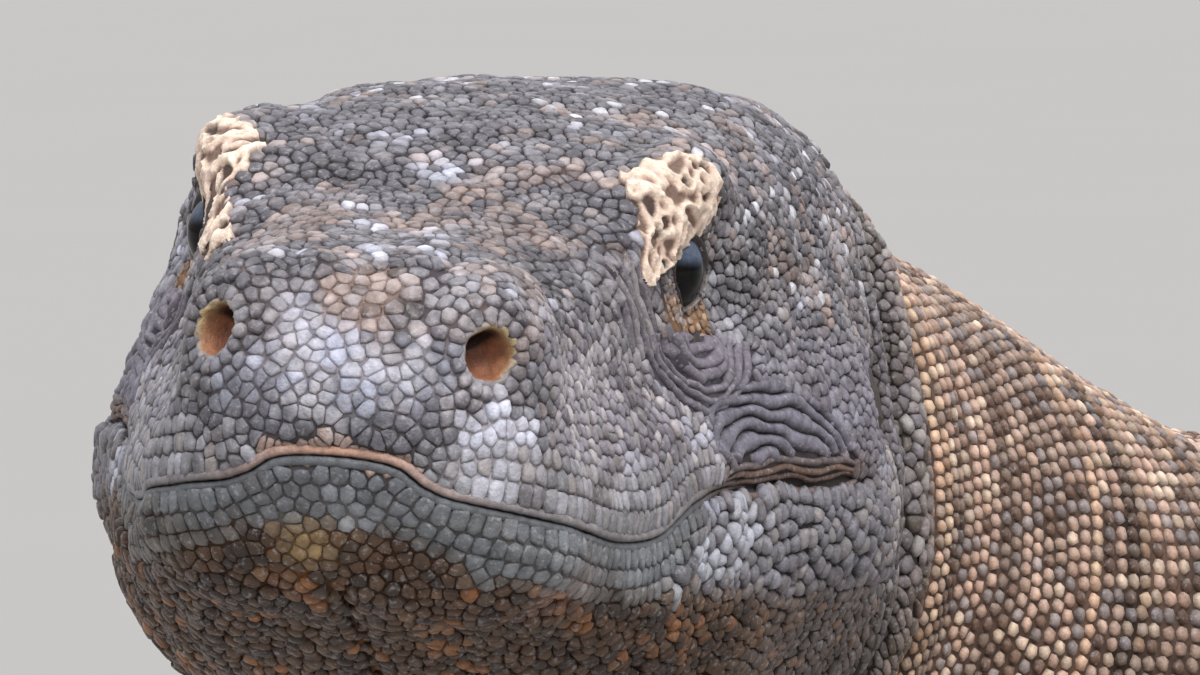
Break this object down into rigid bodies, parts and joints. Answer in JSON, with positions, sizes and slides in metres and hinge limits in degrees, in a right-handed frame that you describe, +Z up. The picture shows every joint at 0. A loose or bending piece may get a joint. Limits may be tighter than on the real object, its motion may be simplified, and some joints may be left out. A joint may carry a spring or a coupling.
{
  "type": "komodo dragon",
  "caption": "Life-size museum-style model of an adult komodo dragon standing on four clawed feet, head raised and turned slightly left, jaws closed, tail resting on the floor.",
  "frame": {"origin": "middle of the bounding box, on the floor the animal stands on", "axes": "+Z up; the animal's tail end points along +Y and its head along -Y; its own left side is +X"},
  "size_m": [0.6466, 2.3354, 0.5147],
  "materials": {
    "head_hide": "slate-grey scaly hide, dry satin",
    "hide": "tan-brown scaly hide, dry matt",
    "claw": "dark horn, satin",
    "eye": "wet gloss, near black-brown",
    "ear": "thin dark skin, dull"
  },
  "bodies": {
    "root": {"eye_left": "eye", "ear_left": "ear", "eye_right": "eye", "ear_right": "ear", "head": "head_hide", "lower_jaw": "head_hide", "neck": "hide", "trunk": "hide", "tail_base": "hide", "tail_middle": "hide", "tail_tip": "hide", "claw_front_left_1": "claw", "claw_front_left_2": "claw", "claw_front_left_3": "claw", "claw_front_left_4": "claw", "claw_front_left_5": "claw", "upper_arm_front_left": "hide", "forearm_front_left": "hide", "foot_front_left": "hide", "claw_front_right_1": "claw", "claw_front_right_2": "claw", "claw_front_right_3": "claw", "claw_front_right_4": "claw", "claw_front_right_5": "claw", "upper_arm_front_right": "hide", "forearm_front_right": "hide", "foot_front_right": "hide", "claw_hind_left_1": "claw", "claw_hind_left_2": "claw", "claw_hind_left_3": "claw", "claw_hind_left_4": "claw", "claw_hind_left_5": "claw", "thigh_hind_left": "hide", "shank_hind_left": "hide", "foot_hind_left": "hide", "claw_hind_right_1": "claw", "claw_hind_right_2": "claw", "claw_hind_right_3": "claw", "claw_hind_right_4": "claw", "claw_hind_right_5": "claw", "thigh_hind_right": "hide", "shank_hind_right": "hide", "foot_hind_right": "hide"}
  },
  "joints": []
}
